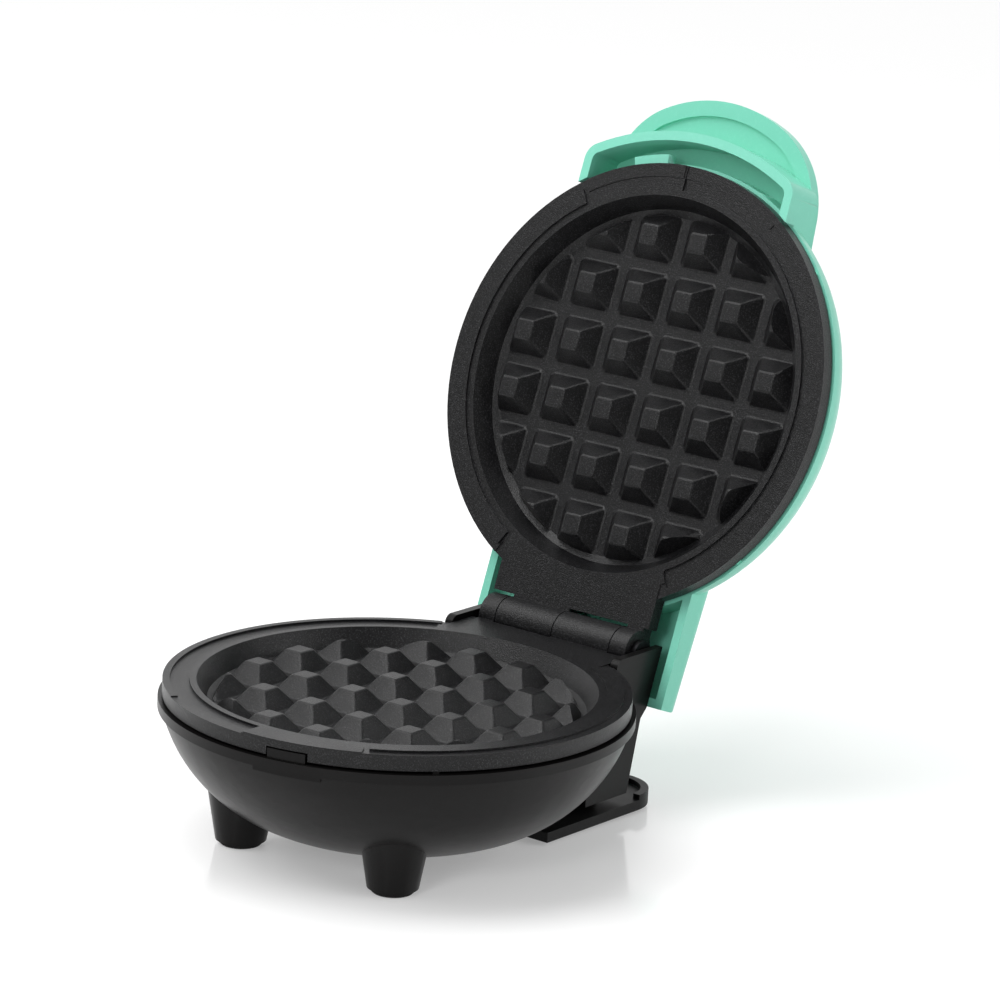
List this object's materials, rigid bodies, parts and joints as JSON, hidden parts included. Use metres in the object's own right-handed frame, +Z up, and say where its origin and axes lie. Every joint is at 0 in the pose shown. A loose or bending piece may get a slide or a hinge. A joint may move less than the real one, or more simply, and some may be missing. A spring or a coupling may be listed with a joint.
{
  "type": "waffle maker",
  "caption": "Small round waffle maker standing open: green hinged lid with a handle tab, black bowl base, two dark cast plates with a grid of flat-topped pyramids.",
  "frame": {"origin": "on the ground under the middle of the open object's bounding box", "axes": "+Z up; +X along the hinge, to the right seen from the front; +Y to the back, where the hinge is"},
  "size_m": [0.1242, 0.196, 0.1818],
  "materials": {
    "lid_plastic": "glossy mint green moulding",
    "base_plastic": "satin black moulding",
    "plate_casting": "cast, with a black non-stick coat",
    "sheath_steel": "dull drawn tube",
    "sheet_aluminium": "bright sheet",
    "screw_steel": "zinc plated",
    "pad_rubber": "matte",
    "control_plastic": "heat-proof cream moulding",
    "fuse_sleeve": "woven glass sleeve",
    "lens_plastic": "clear red",
    "lamp_glass": "clear glass"
  },
  "bodies": {
    "base": {"base_housing": "base_plastic", "lower_plate": "plate_casting", "lower_heating_element": "sheath_steel", "lower_heater_clamp": "sheet_aluminium", "lower_reflector": "sheet_aluminium", "lower_clamp_screws": "screw_steel", "base_screws": "screw_steel", "front_foot_pads": "pad_rubber", "rear_foot_plate": "base_plastic", "rear_foot_screws": "screw_steel", "rear_foot_pads": "pad_rubber", "cord_gland": "pad_rubber", "terminal_block": "control_plastic", "thermostat": "control_plastic", "thermal_fuse": "fuse_sleeve", "hinge_pin": "screw_steel", "hinge_pin_cap": "screw_steel"},
    "lid": {"lid_shell": "lid_plastic", "upper_plate": "plate_casting", "upper_heating_element": "sheath_steel", "upper_heater_clamp": "sheet_aluminium", "upper_reflector": "sheet_aluminium", "upper_clamp_screws": "screw_steel", "indicator_lens": "lens_plastic", "indicator_lamp": "lamp_glass"}
  },
  "joints": [
    {"name": "lid_hinge", "type": "hinge", "parent": "base", "child": "lid", "pos_m": [0, 0.03387, 0.0431], "axis": [-1, 0, 0], "range_deg": [-110, 0]}
  ]
}
